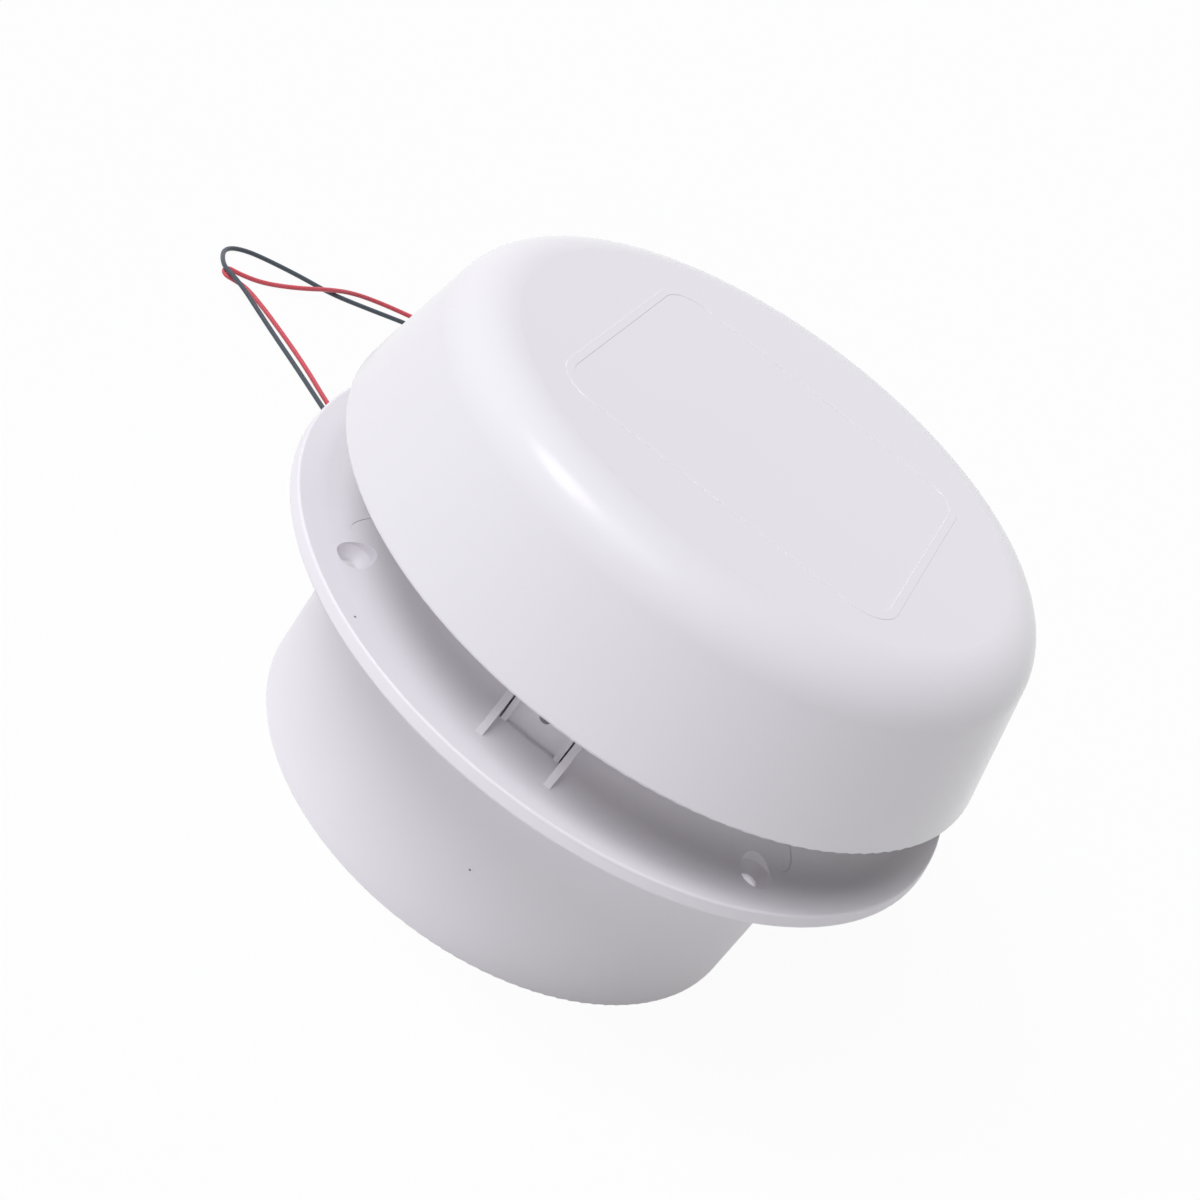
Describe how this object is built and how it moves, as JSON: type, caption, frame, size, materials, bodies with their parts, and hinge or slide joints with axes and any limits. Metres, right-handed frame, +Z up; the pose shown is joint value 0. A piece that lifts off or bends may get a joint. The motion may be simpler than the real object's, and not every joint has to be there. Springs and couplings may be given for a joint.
{
  "type": "camper roof vent fan",
  "caption": "Round white mushroom-shaped roof vent with a flanged pipe, a clipped-on rain cap, an axial fan in the pipe and a red and black wire pair.",
  "frame": {"origin": "centre of the pipe's lower end, on the surface that the vent stands on", "axes": "+Z up along the pipe's axis towards the cap; -Y is the side that the picture looks at"},
  "size_m": [0.3092, 0.3171, 0.1391],
  "materials": {
    "white_plastic": "semi-gloss moulded white",
    "dark_plastic": "moulded charcoal",
    "zinc_steel": "zinc plated",
    "brass_tube": "turned",
    "bearing_steel": "ground",
    "core_steel": "stamped",
    "magnet": "bonded ferrite",
    "copper_winding": "enamelled copper",
    "board": "solder mask",
    "board_parts": "moulded packages",
    "grommet_rubber": "soft black",
    "red_insulation": "satin wire insulation",
    "black_insulation": "satin wire insulation",
    "tinned_wire": "tinned strands"
  },
  "bodies": {
    "housing": {"flange": "white_plastic", "pipe": "white_plastic", "cap": "white_plastic", "fan_frame": "dark_plastic", "fan_guard": "white_plastic", "frame_screws": "zinc_steel", "guard_screws": "zinc_steel", "bearing_tube": "brass_tube", "lower_bearing": "bearing_steel", "upper_bearing": "bearing_steel", "stator_core": "core_steel", "stator_coils": "copper_winding", "circuit_board": "board", "board_parts": "board_parts", "lead_clips": "dark_plastic", "wire_grommet": "grommet_rubber", "red_lead": "red_insulation", "black_lead": "black_insulation", "red_wire": "red_insulation", "black_wire": "black_insulation", "red_wire_tip": "tinned_wire", "black_wire_tip": "tinned_wire"},
    "rotor": {"impeller": "dark_plastic", "rotor_cup": "core_steel", "rotor_magnet": "magnet", "rotor_shaft": "bearing_steel", "shaft_clip": "bearing_steel", "preload_washer": "bearing_steel"}
  },
  "joints": [
    {"name": "fan_spin", "type": "hinge", "parent": "housing", "child": "rotor", "pos_m": [0, 0, 0.055], "axis": [0, 0, 1], "continuous": true}
  ]
}
